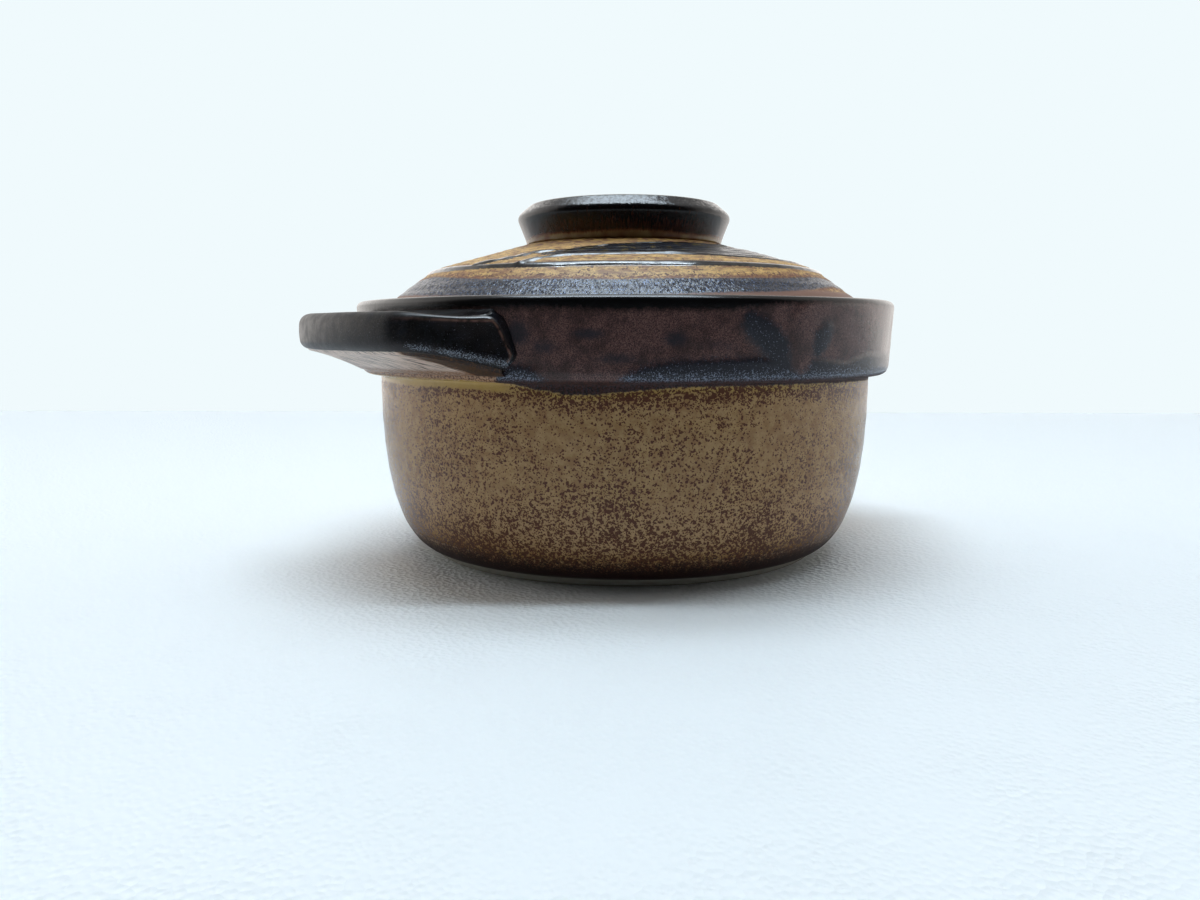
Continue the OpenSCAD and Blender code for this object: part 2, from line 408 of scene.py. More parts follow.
def makeFloor():
    wide, front, back = room["halfWidth"], room["frontAt"], room["backAt"]
    places = ((-wide, front), (wide, front), (wide, back), (-wide, back))
    mesh = bpy.data.meshes.new("whiteFloor")
    mesh.from_pydata([tuple((ahead * y + right * x) * mm) for x, y in places], [], [(0, 1, 2, 3)])
    floor = bpy.data.objects.new("whiteFloor", mesh)
    scene.collection.objects.link(floor)
    cover, shader, place = newGlaze("grainedCover")
    grained = times(cells(place, room["grain"]), noise(place, room["wornWide"]))
    setShader(shader, {"Base Color": room["floorInk"], "Roughness": 0.55, "Specular IOR Level": 0.25,
                       "Normal": bump(grained, room["grainDepth"])})
    mesh.materials.append(cover)


def makeLight():
    world = bpy.data.worlds.new("lightBox")
    scene.world = world
    world.use_nodes = True
    work["tree"] = world.node_tree
    way = put("TexCoord", {}, out="Generated")
    rise = put("SeparateXYZ", {0: way}, out="Z")
    rightward, onward, towards = [vectors("DOT_PRODUCT", way, tuple(course), "Value")
                                  for course in (right, ahead, -ahead)]
    shaded = times(most(rightward, 0.0), room["rightShade"])
    light = step(plus(rise, shaded), *room["highFrom"], room["wallLight"], room["highLight"])
    light = times(light, step(unsigned(rightward), *room["sideFrom"], room["backShare"], room["sideShare"]))
    light = between(step(towards, *room["openFrom"]), light, room["openLight"])
    colour = vectors("SCALE", room["lightInk"], light)
    # Each bright part of the ceiling is a soft rectangle in tangents from straight up
    over = most(rise, 0.05)
    slantX, slantY = sums("DIVIDE", rightward, over), sums("DIVIDE", onward, over)
    for bright, tint, middleX, halfX, middleY, halfY, soft in skyParts:
        part = times(step(rise, *room["ceilingFrom"]), bright)
        for slant, middle, half in ((slantX, middleX, halfX), (slantY, middleY, halfY)):
            part = times(part, step(unsigned(less(slant, middle)), half + soft, half - soft))
        colour = vectors("ADD", colour, vectors("SCALE", tint, part))
    # The camera, and any glass, sees the plain backdrop. Reflections see the lit box,
    # because the glaze's highlights come from it.
    cameraRay = put("LightPath", {}, out="Is Camera Ray")
    clearRay = put("LightPath", {}, out="Is Transmission Ray")
    shown = blend(most(cameraRay, clearRay), colour, room["backInk"])
    feed(world.node_tree.nodes["Background"].inputs["Color"], shown)


def makeLamp():
    light = bpy.data.lights.new(lamp["name"], "AREA")
    light.shape = "RECTANGLE"
    light.size, light.size_y = lamp["wide"] * mm, lamp["deep"] * mm
    light.energy = lamp["bright"] * math.pi * light.size * light.size_y
    light.color = lamp["ink"]
    holder = bpy.data.objects.new(lamp["name"], light)
    turned = np.eye(4)
    turned[:3, 0], turned[:3, 1] = right, ahead
    turned[:3, 3] = (right * lamp["across"] + ahead * lamp["along"] + np.array([0, 0, lamp["height"]])) * mm
    holder.matrix_world = turned.T
    scene.collection.objects.link(holder)


makeFloor()
makeLight()
makeLamp()
print("room and light set")


# Pot: the thrown bowl with its thick collar

pot = {
    "height": 71.9, "collarR": 78.3, "collarLow": 51.9, "taper": 1.4, "collarRound": 3.0,
    "rimR": 70.1, "rimRound": 1.4, "rimOutRound": 1.7, "ledgeZ": 65.0, "innerR": 65.5, "wallR": 71.9,
    "footR": 57.5, "footH": 2.0, "footIn": 50.5, "footHollow": 2.4, "floorZ": 8.0, "floorR": 51.1,
    "edge": 0.7, "cove": 1.6, "columns": 396, "collarGap": 0.42, "wallGap": 0.85, "insideGap": 3.0,
    "strokeLift": 0.16, "dropLift": 0.12, "overlapLift": 0.14, "ringLift": 0.035, "ringTurns": 0.83,
    "bowlUneven": 0.12, "collarUneven": 0.10, "bareFoot": (3.0, 2.5), "earZone": (33, 27),
    "collarFromR": (69.5, 71.5), "wallFromR": (69.5, 70.5), "bowlFromR": (56, 60),  # where relief sets in
    "bowlFromZ": (2, 6), "thickFromZ": (51, 54), "unevenFromZ": (52, 55),
    "outsideZ": 40, "overlapTopZ": 53, "bowlTopZ": 52,
    "blackBand": [(-180, 69.0), (-120, 68.3), (-75, 69.2), (-50, 68.6), (-16, 68.9), (0, 68.2), (18, 68.4),
                  (25, 69.6), (33, 70.5), (50, 71.0), (75, 70.0), (100, 67.9), (128, 68.6), (155, 69.6)],
    "lowBand": [(-180, 57.2), (-165, 57.9), (-150, 56.6), (-141, 51.0), (-118, 51.0), (-108, 56.2),
                (-92, 57.4), (-84, 55.0), (-78, 51.0), (-23.6, 51.0), (-21.4, 54.8), (-18, 56.2),
                (-15.5, 54.8), (-13, 51.5), (-2, 51.5), (3, 55.9), (9, 57.1), (16, 57.3), (23, 57.8),
                (37, 57.5), (45, 56.4), (53, 58.4), (63, 57.8), (82, 56.4), (96, 57.6), (110, 56.6),
                (118, 51.0), (146, 51.0), (152, 56.4)],
    "overlap": [(-180, 50.6), (-130, 49.7), (-90, 50.6), (-76, 52.4), (-30, 52.4), (-21, 51.6),
                (-17.6, 50.5), (-14, 49.9), (-11, 49.2), (-5, 49.1), (0.5, 49.9), (12, 50.8), (42, 50.8),
                (80, 50.3), (103, 52.2), (150, 52.2), (160, 50.8)],
    "strokes": [  # paths of facing, height, half width
        [(21.6, 66.8, 1.7), (22.4, 65.0, 2.7), (24.4, 63.2, 3.3), (26.8, 60.4, 3.5), (28.2, 57.6, 3.0),
         (28.4, 55.0, 2.4)],
        [(38.8, 64.3, 1.6), (37.6, 62.4, 2.8), (36.8, 60.6, 2.6), (36.0, 59.2, 1.5)],
        [(84, 66.2, 1.2), (81, 63.4, 2.6), (77.5, 60.4, 3.0), (76, 56.4, 2.4)],
        [(98, 63.0, 1.6), (99.6, 61.2, 2.2)],
        [(-168, 67.0, 1.0), (-164, 63.4, 2.8), (-159.5, 60.0, 3.2), (-158, 56.0, 2.4)],
        [(-146, 62.6, 1.7), (-144.4, 60.9, 2.0)],
        [(-104, 66.4, 1.2), (-101, 62.8, 2.4), (-98, 58.6, 2.8), (-97, 55.6, 2.2)]],
    "drops": [  # brown runs left between the strokes, in the same way
        [(32.7, 66.5, 3.6), (32.7, 61.0, 3.7), (32.7, 58.4, 3.8), (32.7, 57.2, 3.4)],
        [(70.5, 66.0, 2.6), (70.2, 58.2, 2.4)],
        [(-152.2, 66.4, 2.8), (-152.0, 58.0, 2.6)]],
    "smudges": [  # facing, height, width, depth, strength
        (-5.8, 63.1, 4.2, 1.5, 0.8), (8.7, 62.0, 3.2, 2.2, 0.75), (-13.4, 60.2, 3.6, 2.0, 0.65),
        (-18.0, 63.3, 3.4, 3.4, 0.85), (-1.0, 57.6, 6.5, 1.6, 0.6), (16.0, 60.6, 6.0, 2.0, 0.4),
        (60, 63.4, 2.4, 1.6, 0.6), (112, 61.0, 3.0, 1.8, 0.6), (-176, 60.0, 3.0, 1.4, 0.6),
        (-125, 63.0, 3.0, 1.5, 0.6)]}


# Bowl curve: the radius grows as the root of 1 less a power of the height left
def bowlCurve(r0, z0, r1, z1, count=60):
    u = np.linspace(0, 1, count) ** 2
    return np.column_stack([r0 + (r1 - r0) * np.sqrt(1 - (1 - u) ** 2.5), z0 + (z1 - z0) * u]).tolist()


def potOutline():
    p = pot
    edge, low, cove, ledge = p["edge"], p["collarLow"], p["cove"], p["ledgeZ"]
    underside = [(pole, p["footHollow"]), (p["footIn"] - edge, p["footHollow"], edge), (p["footIn"], 0, edge)]
    outside = [(p["footR"], 0, edge), *bowlCurve(p["footR"] + edge, p["footH"], p["wallR"], low - cove),
               (p["wallR"], low, cove), (p["collarR"] - p["taper"], low, p["collarRound"]),
               (p["collarR"], p["height"], p["rimOutRound"])]
    inside = [(p["rimR"], p["height"], p["rimRound"]), (p["rimR"], ledge, edge), (p["innerR"], ledge, edge),
              *bowlCurve(p["floorR"], p["floorZ"], p["innerR"], ledge - 2 * edge)[::-1], (pole, p["floorZ"])]

    def spacing(r, z):  # close together where the glaze has relief
        onCollar = ((r > 75) | ((r > 69) & ((z < 54) | (z > 71)))) & (z > 47)
        onWall = (r > 56) & (z < 52)
        return np.where(onCollar, p["collarGap"], np.where(onWall, p["wallGap"], p["insideGap"]))

    return spread(roundedOutline(underside + outside + inside), spacing)


# Depth inside the dark glaze, the brown drops, the black band and the glaze's
# edge on the wall, each above 0 inside. A smudge is a bell curve both ways.
def collarFields(facing, z):
    p = pot

    def arc(angle):  # degrees become millimetres round the collar
        return np.radians(angle) * p["collarR"]

    def onCollar(path):  # measured from the path's own angle, so that no seam is met
        q = np.array(path, float)
        middle = q[0, 0]
        q[:, 0] = arc(q[:, 0] - middle)
        return strokeField(arc(wrapped(facing - middle)), z, eased(q, 5))

    strokes, drops = [np.max([onCollar(path) for path in p[kind]], axis=0) for kind in ("strokes", "drops")]
    uneven = wobble(facing, z, 5)
    lowBand = around(facing, p["lowBand"]) - z + 0.35 * uneven
    dark = np.minimum(np.maximum(strokes, lowBand), -drops)
    smudge = np.max([strong * np.exp(-(arc(wrapped(facing - f)) / wide) ** 2 - ((z - h) / deep) ** 2)
                     for f, h, wide, deep, strong in p["smudges"]], axis=0)
    black = z - around(facing, p["blackBand"]) - 0.25 * uneven
    overlap = z - around(facing, p["overlap"]) - 0.2 * wobble(facing, z, 8)
    return dark, drops, smudge, black, overlap


def makePot():
    p = pot
    profile = potOutline()
    theta, facing, r, z = turnedRings(profile, p["columns"])
    dark, drops, smudge, black, overlap = collarFields(facing, z)
    # Glaze lies thicker in the strokes and drops, and ends in a soft edge on the wall
    outer = softStep(*p["collarFromR"], r) * (z > p["outsideZ"])
    thick = p["strokeLift"] * softStep(-0.3, 1.0, dark) + p["dropLift"] * softStep(-0.4, 1.0, drops)
    relief = outer * softStep(*p["thickFromZ"], z) * thick
    onWall = softStep(*p["wallFromR"], r) * (z > p["outsideZ"]) * (z < p["overlapTopZ"])
    relief += onWall * p["overlapLift"] * softStep(-0.2, 0.7, overlap)
    # Throwing rings go round the bowl, and the hand leaves both bowl and collar a little uneven
    thrown = softStep(*p["bowlFromR"], r) * (z < p["bowlTopZ"]) * softStep(*p["bowlFromZ"], z)
    rings = p["ringLift"] * np.sin(z * p["ringTurns"] + 0.6 * wobble(facing, z, 3))
    relief += thrown * (rings + p["bowlUneven"] * wobble(facing, z * 0.3, 4))
    relief += outer * softStep(*p["unevenFromZ"], z) * p["collarUneven"] * wobble(facing, z * 0.6, 9)
    grid = raisedGrid(profile, theta, relief)
    piece = gridMesh("potGlazed", grid, ends=[(0, 0, p["footHollow"]), (0, 0, p["floorZ"])])
    # Bare clay is at the foot, underneath and on the lid's ledge
    raisedZ, length = grid[..., 2], lengthAlong(profile)[:, None] + 0 * facing
    footAt = length[np.argmax(profile[:, 0] > p["footR"] - 0.3), 0]
    rimAt = length[np.argmax(profile[:, 1] > p["height"] - 0.01), 0]
    foot = softStep(*p["bareFoot"], raisedZ + 0.25 * wobble(facing, raisedZ, 12)) * (length < rimAt)
    ledge = softStep(p["ledgeZ"] - 1.2, p["ledgeZ"] - 0.4, raisedZ)
    ledge = ledge * softStep(rimAt + 5.5, rimAt + 6.6, length)
    besideEar = np.min([np.abs(wrapped(facing + facingTurn - turn)) for turn in earTurns], axis=0)
    addFields(piece, {
        "earZone": softStep(*p["earZone"], besideEar), "dark": np.clip(dark, -6, 6), "smudge": smudge,
        "black": np.clip(black, -6, 6), "overlap": np.clip(overlap, -30, 30),
        "inside": softStep(rimAt + 6, rimAt + 8, length),
        "bare": np.clip(np.maximum(np.maximum(foot, ledge), length < footAt), 0, 1)})
    finishPiece(piece, "pot", "pot", potGlaze())


potInks = inks(
    ochre=(178, 142, 96), ochreDeep=(152, 115, 78), ochrePale=(190, 152, 112),
    ochreLine=(180, 150, 80), speck=(74, 31, 13), footBrown=(36, 14, 9),
    collarBrown=(80, 58, 56), collarRed=(136, 102, 96), collarDark=(34, 25, 25),
    overlapBrown=(62, 32, 24), overlapDark=(26, 14, 11), mottle=(168, 130, 100),
    black=(9, 9, 11), blueBlack=(39, 39, 46), crystal=(150, 160, 182),
    insideBrown=(112, 82, 56), insideDeep=(70, 48, 36), clay=(166, 164, 154))
potRough = {"wall": 0.19, "speck": 0.38, "collar": 0.19, "stroke": 0.26, "rim": 0.22, "underCollar": 0.7,
            "foot": 0.6, "inside": 0.3, "clay": 0.88}
potSpecks = [(0.58, 0.8), (0.34, 0.9), (0.95, 0.48)]  # cell width, share of the amount


def potGlaze():
    c, rough = potInks, potRough
    glaze, shader, place = newGlaze("ironSpeckledGlaze")
    height = put("SeparateXYZ", {0: place}, out="Z")
    overlap, earZone, inside, bare = field("overlap"), field("earZone"), field("inside"), field("bare")
    shaky = shaken(place, 0.7, 0.75)
    fine, medium, broad = noise(place, 0.5, 3, 0.6), noise(place, 2.6, 3), noise(place, 16, 2)
    dusty = noise(place, 0.26, 2, 0.6)

    # Ochre wall with iron specks, close together at the foot and under the collar
    low = step(height, 35, -5, 0.34, 0.82)
    under = times(step(overlap, -6.0, -1.4, 0, 0.34), step(overlap, 0.2, -0.5))
    clear = times(earZone, step(overlap, -2.9, -1.7, 0, 0.7))
    amount = less(plus(low, under, step(broad, 0.3, 0.75, -0.10, 0.12)), clear)
    specks = times(most(*[speckles(shaky, wide, times(amount, share)) for wide, share in potSpecks]), 0.92)
    line = step(plus(overlap, times(medium, 0.8)), -1.2, -0.4, 0, 0.5)
    uneven = plus(times(medium, 4.0), times(noise(shaky, 0.4, 2), 10.0))
    wall = layered(
        c["ochre"], (step(medium, 0.35, 0.7), c["ochreDeep"]),
        (step(fine, 0.40, 0.64, 0, 0.45), c["ochreDeep"]),
        (times(step(height, 28, 14, 0, 0.6), step(height, 7, 14)), c["ochrePale"]),
        (most(line, clear), c["ochreLine"]), (specks, c["speck"]),
        # Dark brown at the foot: partly the glaze's own colour, partly painted shade where the bowl curves in
        # over the floor
        (step(plus(height, uneven), 17.0, 12.0), c["footBrown"]))

    # Brown collar with blue-black strokes, soft smudges and a black rim
    ragged = centred(noise(place, 1.1, 4, 0.65), 3.2)
    dark = plus(field("dark"), ragged)
    strokes = step(dark, -1.5, 1.1)
    nearFloor = step(height, 56.2, 52.4, 0, 0.15)
    crystals = step(plus(noise(place, 0.34, 2, 0.5), nearFloor), 0.60, 0.75, 0, 0.55)
    smudge = plus(field("smudge"), times(ragged, 0.16))
    black = step(plus(field("black"), times(ragged, 0.6)), -1.1, 0.9)
    grained = blend(step(fine, 0.44, 0.6), c["overlapBrown"], c["overlapDark"])
    mottled = blend(step(fine, 0.42, 0.62), c["mottle"], c["overlapBrown"])
    bared = times(earZone, step(height, 54.4, 53.0), step(dark, 0.8, -0.4))
    collar = layered(
        c["collarBrown"], (step(dusty, 0.42, 0.68, 0, 0.7), c["collarRed"]),
        (step(dusty, 0.48, 0.32, 0, 0.7), c["collarDark"]),
        (step(noise(place, 7, 3), 0.42, 0.66, 0, 0.6), c["collarDark"]),
        (step(smudge, 0.12, 0.75, 0, 0.85), c["blueBlack"]), (strokes, c["blueBlack"]),
        (times(strokes, crystals), c["crystal"]), (black, c["black"]),
        (step(height, 53.2, 52.0, 0, 0.9), grained), (bared, mottled))
    isCollar = step(plus(overlap, times(ragged, 0.35)), -0.25, 0.3)

    # Brown inside, and bare clay at the foot and on the lid's ledge
    cup = blend(step(medium, 0.4, 0.65), c["insideBrown"], c["insideDeep"])
    colour = layered(wall, (isCollar, collar), (inside, cup), (bare, c["clay"]))

    rim = times(black, isCollar)
    gloss = layered(
        between(specks, rough["wall"], rough["speck"]),
        (isCollar, between(strokes, rough["collar"], rough["stroke"])), (rim, rough["rim"]),
        (times(isCollar, step(height, 53.4, 52.2)), rough["underCollar"]),
        (step(height, 10.0, 4.0), rough["foot"]), (inside, rough["inside"]),
        (bare, rough["clay"]), mix=between)
    pitted = bump(times(fine, between(isCollar, 1.0, 0.35)), 0.05)
    glint = bump(times(crystals, strokes), 0.03, pitted)
    setShader(shader, {
        "Base Color": colour, "Roughness": gloss, "IOR": 1.55, "Specular IOR Level": 0.22,
        "Coat Weight": times(rim, step(height, 70.4, 71.2, 0, 0.4)), "Coat Roughness": 0.10,
        "Coat IOR": 1.8, "Normal": bump(medium, 0.06, glint)})
    return glaze


makePot()


# Ears: flat lugs lofted from the collar

ear = {
    "innerR": 74.6, "rootR": 77.6, "tipR": 94.0, "topZ": 68.3, "tipT": 9.4, "rootT": 14.9, "crown": 0.55,
    "tipW": 66.0, "sideR": 80.5, "sideW": 42.0, "corner": 7.0, "dish": 1.3,
    "roundTop": 2.6, "roundSide": 1.4, "roundLow": 2.3,
    "endTop": 29.1, "endTurn": 2.0, "endTurnH": 2.6, "endSlope": 0.27, "endWidest": 8.6, "endBack": 0.39,
    "endRound": 0.9, "endLean": 1.0, "flankColumns": 64, "endColumns": 16,
    "flankR": [77.5, 80.0, 82.7, 86.8, 91.0, 94.0], "flankAngle": [33.0, 31.3, 28.3, 25.1, 22.2, 20.5],
    "overR": [79, 94], "overAngle": [6.5, 2.2],  # how far the end's glaze turns over below
    "filled": 0.7, "sideUneven": 0.10, "faceUneven": 0.14, "tipBack": 0.12, "wiped": 30.0}


# The smaller of two lengths, with a soft change over the length k
def softMin(a, b, k):
    return np.minimum(a, b) - np.maximum(k - np.abs(a - b), 0) ** 2 / (4 * k)


# Sections across the ear, from one end to the other. In plan the outer edge is
# an arc about the pot, softly cut by an upright flat side that runs to a point
# beside the collar. At the end the edge turns over and goes into the collar.
# The end's angle grows with the depth below the top: a quarter ellipse at the
# upper corner, then a straight slope, less a power of the depth near the bottom.
def earGrid():
    e = ear
    inner = e["innerR"]
    half = np.r_[np.linspace(0, 1, e["flankColumns"], endpoint=False), 1 + np.linspace(0, 1, e["endColumns"])]
    course = np.r_[-half[:0:-1], half][:, None]
    flank, past = np.minimum(np.abs(course), 1), np.maximum(np.abs(course) - 1, 0)
    over, into = np.clip(past / 0.5, 0, 1), np.clip(past / 0.5 - 1, 0, 1)
    tipX, tipY = math.sqrt(e["tipR"] ** 2 - (e["tipW"] / 2) ** 2), e["tipW"] / 2
    sideX, sideY = math.sqrt(e["sideR"] ** 2 - e["sideW"] ** 2), e["sideW"]
    nx, ny = sideY - tipY, tipX - sideX

    def topAt(r):
        q = np.clip((r - e["rootR"]) / (e["tipR"] - e["rootR"]), 0, 1)
        return e["topZ"] - e["dish"] * 4 * q * (1 - q)

    def underAt(r):
        q = np.clip((e["tipR"] - r) / (e["tipR"] - e["rootR"]), 0, 1)
        return e["topZ"] - e["tipT"] - (e["rootT"] - e["tipT"]) * q ** 1.5

    def endAt(depth):
        turn = np.sqrt(1 - (1 - np.clip(depth / e["endTurnH"], 0, 1)) ** 2)
        back = np.maximum(depth - e["endWidest"], 0) ** 1.5
        slope = np.maximum(depth - e["endTurnH"] / 2, 0)
        return np.radians(e["endTop"] + e["endTurn"] * turn + e["endSlope"] * slope - e["endBack"] * back)

    def planR(a):
        return softMin(e["tipR"], (nx * tipX + ny * tipY) / (nx * np.cos(a) + ny * np.sin(a)), e["corner"])

    def edgeAt(depth):  # angle and radius of the outer edge at a depth below the top
        end = endAt(depth)
        begin = end - e["endRound"] / e["rootR"]
        rBegin, rEnd = planR(begin), planR(end)
        lean = math.radians(e["endLean"])
        aTurned, rTurned = end + lean * e["endRound"] / (rEnd - inner), rEnd - e["endRound"]
        a, b, c = (1 - over) ** 2, 2 * over * (1 - over), over ** 2
        endAngle = a * begin + b * end + c * aTurned + into * (end + lean - aTurned)
        endRadius = a * rBegin + b * rEnd + c * rTurned + into * (inner + 0.5 - rTurned)
        sideAngle = begin * flank
        return np.where(past > 0, endAngle, sideAngle), np.where(past > 0, endRadius, planR(sideAngle))

    a1, r1 = edgeAt(0 * course)
    z1, z0 = topAt(r1), e["topZ"] - e["tipT"] + 0 * course
    for again in range(3):  # the edge's radius and the underside's height settle together
        r0 = edgeAt(z1 - z0)[1]
        z0 = underAt(r0)
    atTip = softStep(math.radians(25), math.radians(15), np.abs(a1))
    t = np.minimum(e["roundSide"] + (e["roundTop"] - e["roundSide"]) * atTip, 0.4 * (r1 - inner))
    b = np.minimum(e["roundLow"], 0.5 * (r0 - inner))
    inward = np.linspace(0, 1, 26, endpoint=False)[None, :]
    quarter, lower = np.linspace(0, np.pi / 2, 12)[None, :], np.linspace(0, np.pi * 0.4, 12)[None, :]
    side = np.linspace(0, 1, 24)[None, 1:-1]
    topR = inner + (r1 - t - inner) * inward
    rim = np.hstack([z1 - t + t * np.cos(quarter), z1 - t + (z0 + b - z1 + t) * side,
                     z0 + b - b * np.sin(lower)])
    inset = np.hstack([t - t * np.sin(quarter), 0 * t + 0 * side, b - b * np.cos(lower)])
    rimA, rimR = edgeAt(z1 - rim)
    upright = (rim - (z1 + z0) / 2) / ((z1 - z0) / 2)
    rimR = rimR - e["crown"] * atTip * upright ** 2
    lowR = inner + (rimR[:, -1:] - inset[:, -1:] - inner) * (1 - inward[:, 1:])
    radius = np.hstack([topR, rimR - inset, lowR])
    height = np.hstack([topAt(topR), rim, underAt(lowR)])
    angle = np.where(course < 0, -1, 1) * np.hstack([a1 + 0 * topR, rimA, rimA[:, -1:] + 0 * lowR])

    # Where the glaze is thin, pooled or wiped: bell curves and steps of the place round the section
    at = np.arange(radius.shape[1])[None, :] + 0 * radius
    rimFrom, lowFrom = inward.size, inward.size + quarter.size + side.size
    onSide = softStep(rimFrom + 8, rimFrom + 11, at) * softStep(lowFrom + 3, lowFrom, at)
    thin = np.maximum(np.exp(-((at - rimFrom - 9) / 1.3) ** 2) * (1 - atTip) * (past < 0.3),
                      np.exp(-((past - 0.20) / 0.07) ** 2) * (past > 0) * onSide)
    flankAt = np.interp(radius, e["flankR"], e["flankAngle"])
    turnedOver = flankAt - np.interp(radius, e["overR"], e["overAngle"])
    fields = {
        "thin": thin, "ridge": np.exp(-((at - lowFrom - 3) / 4.5) ** 2),
        "under": softStep(lowFrom + 7, lowFrom + 12, at),
        "nearEnd": softStep(math.radians(16), math.radians(34), np.abs(angle)),
        "wrap": softStep(-1.2, 0.2, np.abs(np.degrees(angle)) - turnedOver) * (at > lowFrom),
        "root": softStep(80.6, 79.2, radius) * (at > lowFrom)}
    return angle, radius, height, softStep(rimFrom + 4, rimFrom, at), fields


def makeEar(name, node, turn, glaze):
    e = ear
    angle, radius, height, top, fields = earGrid()
    facing = np.degrees(angle) + turn - facingTurn
    # Glaze fills the corner at the collar; the hand-shaped faces are a little uneven
    height = height + e["filled"] * np.exp(-np.maximum(radius - 78.2, 0) / 0.9) * (radius > 76) * top
    uneven = wobble(facing * 3, height * 3, 21) * softStep(79, 84, radius) * (1 - fields["thin"])
    radius = radius + e["sideUneven"] * uneven - e["tipBack"] * softStep(90, 94, radius)
    height = height + e["faceUneven"] * wobble(facing * 2.4, radius, 22) * softStep(79, 84, radius)
    # The glaze is wiped in lines that run slantwise across the underside
    wiped = angle + math.radians(e["wiped"])
    fields["brushed"] = np.stack([radius * np.sin(wiped), radius * np.cos(wiped) * 0.09, 0 * radius], -1)
    theta = angle + math.radians(turn)
    grid = np.stack([radius * np.cos(theta), radius * np.sin(theta), height], -1)
    # Rows run from side to side, and each section closes on itself
    piece = gridMesh(name, grid, ends=[grid[0].mean(0), grid[-1].mean(0)])
    addFields(piece, fields)
    finishPiece(piece, node, "pot", glaze)


earInks = inks(
    black=(5, 5, 7), blueBlack=(18, 21, 28), crystal=(140, 149, 163),
    brown=(52, 45, 45), rust=(150, 112, 98), endBrown=(44, 34, 30),
    underBrown=(212, 190, 176), underOchre=(142, 108, 62), underDark=(50, 34, 27),
    underRust=(120, 78, 44))


def earGlaze():
    c = earInks
    glaze, shader, place = newGlaze("ironBlackGlaze")
    fine, medium, broad = noise(place, 0.45, 3, 0.6), noise(place, 2.8, 3), noise(place, 9, 2)
    ridge, nearEnd, wrap, below = field("ridge"), field("nearEnd"), field("wrap"), field("under")

    # Black body with crystals along its lower ridge, and rust where an edge is thin
    nearRidge = times(ridge, step(plus(broad, times(nearEnd, 0.20)), 0.36, 0.54), step(nearEnd, 0.0, 0.2))
    crystals = step(plus(noise(place, 0.24, 2, 0.6), times(nearRidge, 0.20)), 0.67, 0.78, 0, 0.8)
    body = layered(
        c["black"], (step(medium, 0.38, 0.7), c["blueBlack"]), (step(broad, 0.5, 0.72, 0, 0.35), c["brown"]),
        (times(ridge, 0.5), c["brown"]),
        (times(step(fine, 0.44, 0.62), step(nearEnd, 0.5, 0.0, 0, 0.4)), c["brown"]),
        (crystals, c["crystal"]), (times(field("thin"), step(medium, 0.35, 0.62, 0.05, 0.55)), c["rust"]))

    # Wiped underside, rusty at the root and where the end's glaze turns over. Its pale brown is partly the
    # glaze's own colour and partly painted reflection of the bright floor.
    streaks = noise(field("brushed", "Vector"), 0.6, 3, 0.6, 0.3)
    rooted = times(field("root"), step(fine, 0.36, 0.58, 0.35, 0.9), step(nearEnd, 0.9, 0.6))
    rusty = times(wrap, less(1.0, wrap), 3.0, step(nearEnd, 0.8, 0.5))
    ending = blend(step(fine, 0.48, 0.66, 0, 0.5), c["endBrown"], c["underRust"])
    wiped = layered(
        c["underBrown"], (step(streaks, 0.50, 0.60, 0, 0.9), c["underDark"]),
        (step(medium, 0.52, 0.74, 0, 0.35), c["underOchre"]), (rooted, c["underRust"]),
        (rusty, c["underRust"]), (step(plus(wrap, centred(medium, 0.8)), 0.4, 0.75), ending))
    under = step(plus(below, centred(medium, 0.7)), 0.35, 0.65)

    gloss = between(nearEnd, step(medium, 0.35, 0.65, 0.36, 0.46), between(crystals, 0.16, 0.3))
    lines = bump(times(streaks, below, less(1.0, wrap)), 0.4, bump(fine, 0.025))
    setShader(shader, {
        "Base Color": blend(under, body, wiped), "Roughness": between(under, gloss, 0.36),
        "IOR": 1.5, "Specular IOR Level": 0.22,
        "Coat Weight": times(nearEnd, 0.7, step(plus(ridge, under), 0.3, 0.0)),
        "Coat Roughness": 0.08, "Coat IOR": 1.8, "Normal": bump(medium, 0.05, lines)})
    return glaze


earFinish = earGlaze()
makeEar("earLeftGlazed", "ear_left", earTurns[0], earFinish)
makeEar("earRightGlazed", "ear_right", earTurns[1], earFinish)


# Lid: a dome that drops inside the collar, with trailed black lines

